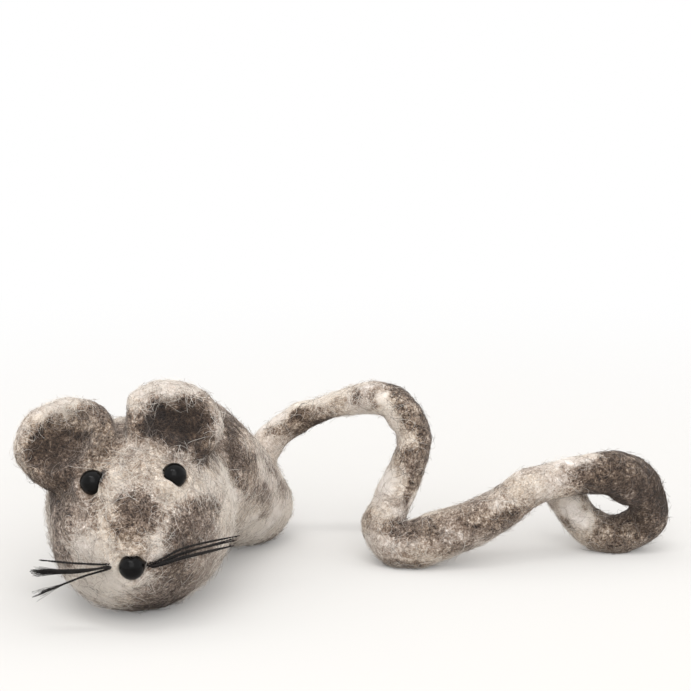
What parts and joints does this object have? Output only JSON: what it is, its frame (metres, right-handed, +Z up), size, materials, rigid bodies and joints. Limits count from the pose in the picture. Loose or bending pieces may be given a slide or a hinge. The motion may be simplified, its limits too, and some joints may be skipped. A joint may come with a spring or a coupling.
{
  "type": "catnip mouse",
  "caption": "Wet-felted wool mouse toy with cupped ears, bead eyes and nose, thread whiskers and a long curled felt-rope tail, filled with dried catnip.",
  "frame": {"origin": "centre of the flat under the head, on the plane that the mouse lies on", "axes": "-Y is the way the face looks, +Z is up, and the tail runs off along +X"},
  "size_m": [0.1809, 0.097, 0.0608],
  "materials": {
    "wool_felt": "mottled cream, warm grey and dark brown-grey felted wool with loose fibres",
    "loose_wool": "loose undyed wool",
    "dried_catnip": "dried crushed herb",
    "black_bead": "glossy black",
    "sewing_thread": "black sewing thread",
    "waxed_thread": "black waxed thread, frayed at its ends"
  },
  "bodies": {
    "mouse": {"head_felt": "wool_felt", "head_core": "loose_wool", "body_felt": "wool_felt", "catnip_filling": "dried_catnip", "eye_right_bead": "black_bead", "eye_right_thread": "sewing_thread", "eye_left_bead": "black_bead", "eye_left_thread": "sewing_thread", "nose_bead": "black_bead", "nose_thread": "sewing_thread", "whisker_thread_1": "waxed_thread", "whisker_thread_2": "waxed_thread", "whisker_thread_3": "waxed_thread", "whisker_thread_4": "waxed_thread", "whisker_thread_5": "waxed_thread"},
    "ear_left": {"ear_left": "wool_felt"},
    "ear_right": {"ear_right": "wool_felt"},
    "tail": {"tail": "wool_felt"}
  },
  "joints": [
    {"name": "ear_left_fold", "type": "hinge", "parent": "mouse", "child": "ear_left", "pos_m": [0.00946, -0.01004, 0.04414], "axis": [-0.9418, -0.0703, 0.3288], "range_deg": [-8, 25], "stiffness_Nm_per_rad": 0.02},
    {"name": "ear_right_fold", "type": "hinge", "parent": "mouse", "child": "ear_right", "pos_m": [-0.01282, -0.01138, 0.04129], "axis": [-0.825, 0.0097, -0.565], "range_deg": [-8, 25], "stiffness_Nm_per_rad": 0.02},
    {"name": "tail_swing", "type": "hinge", "parent": "mouse", "child": "tail", "pos_m": [0.0354, 0.04596, 0.02806], "axis": [0, 0, 1], "range_deg": [-18, 18], "stiffness_Nm_per_rad": 0.03}
  ]
}
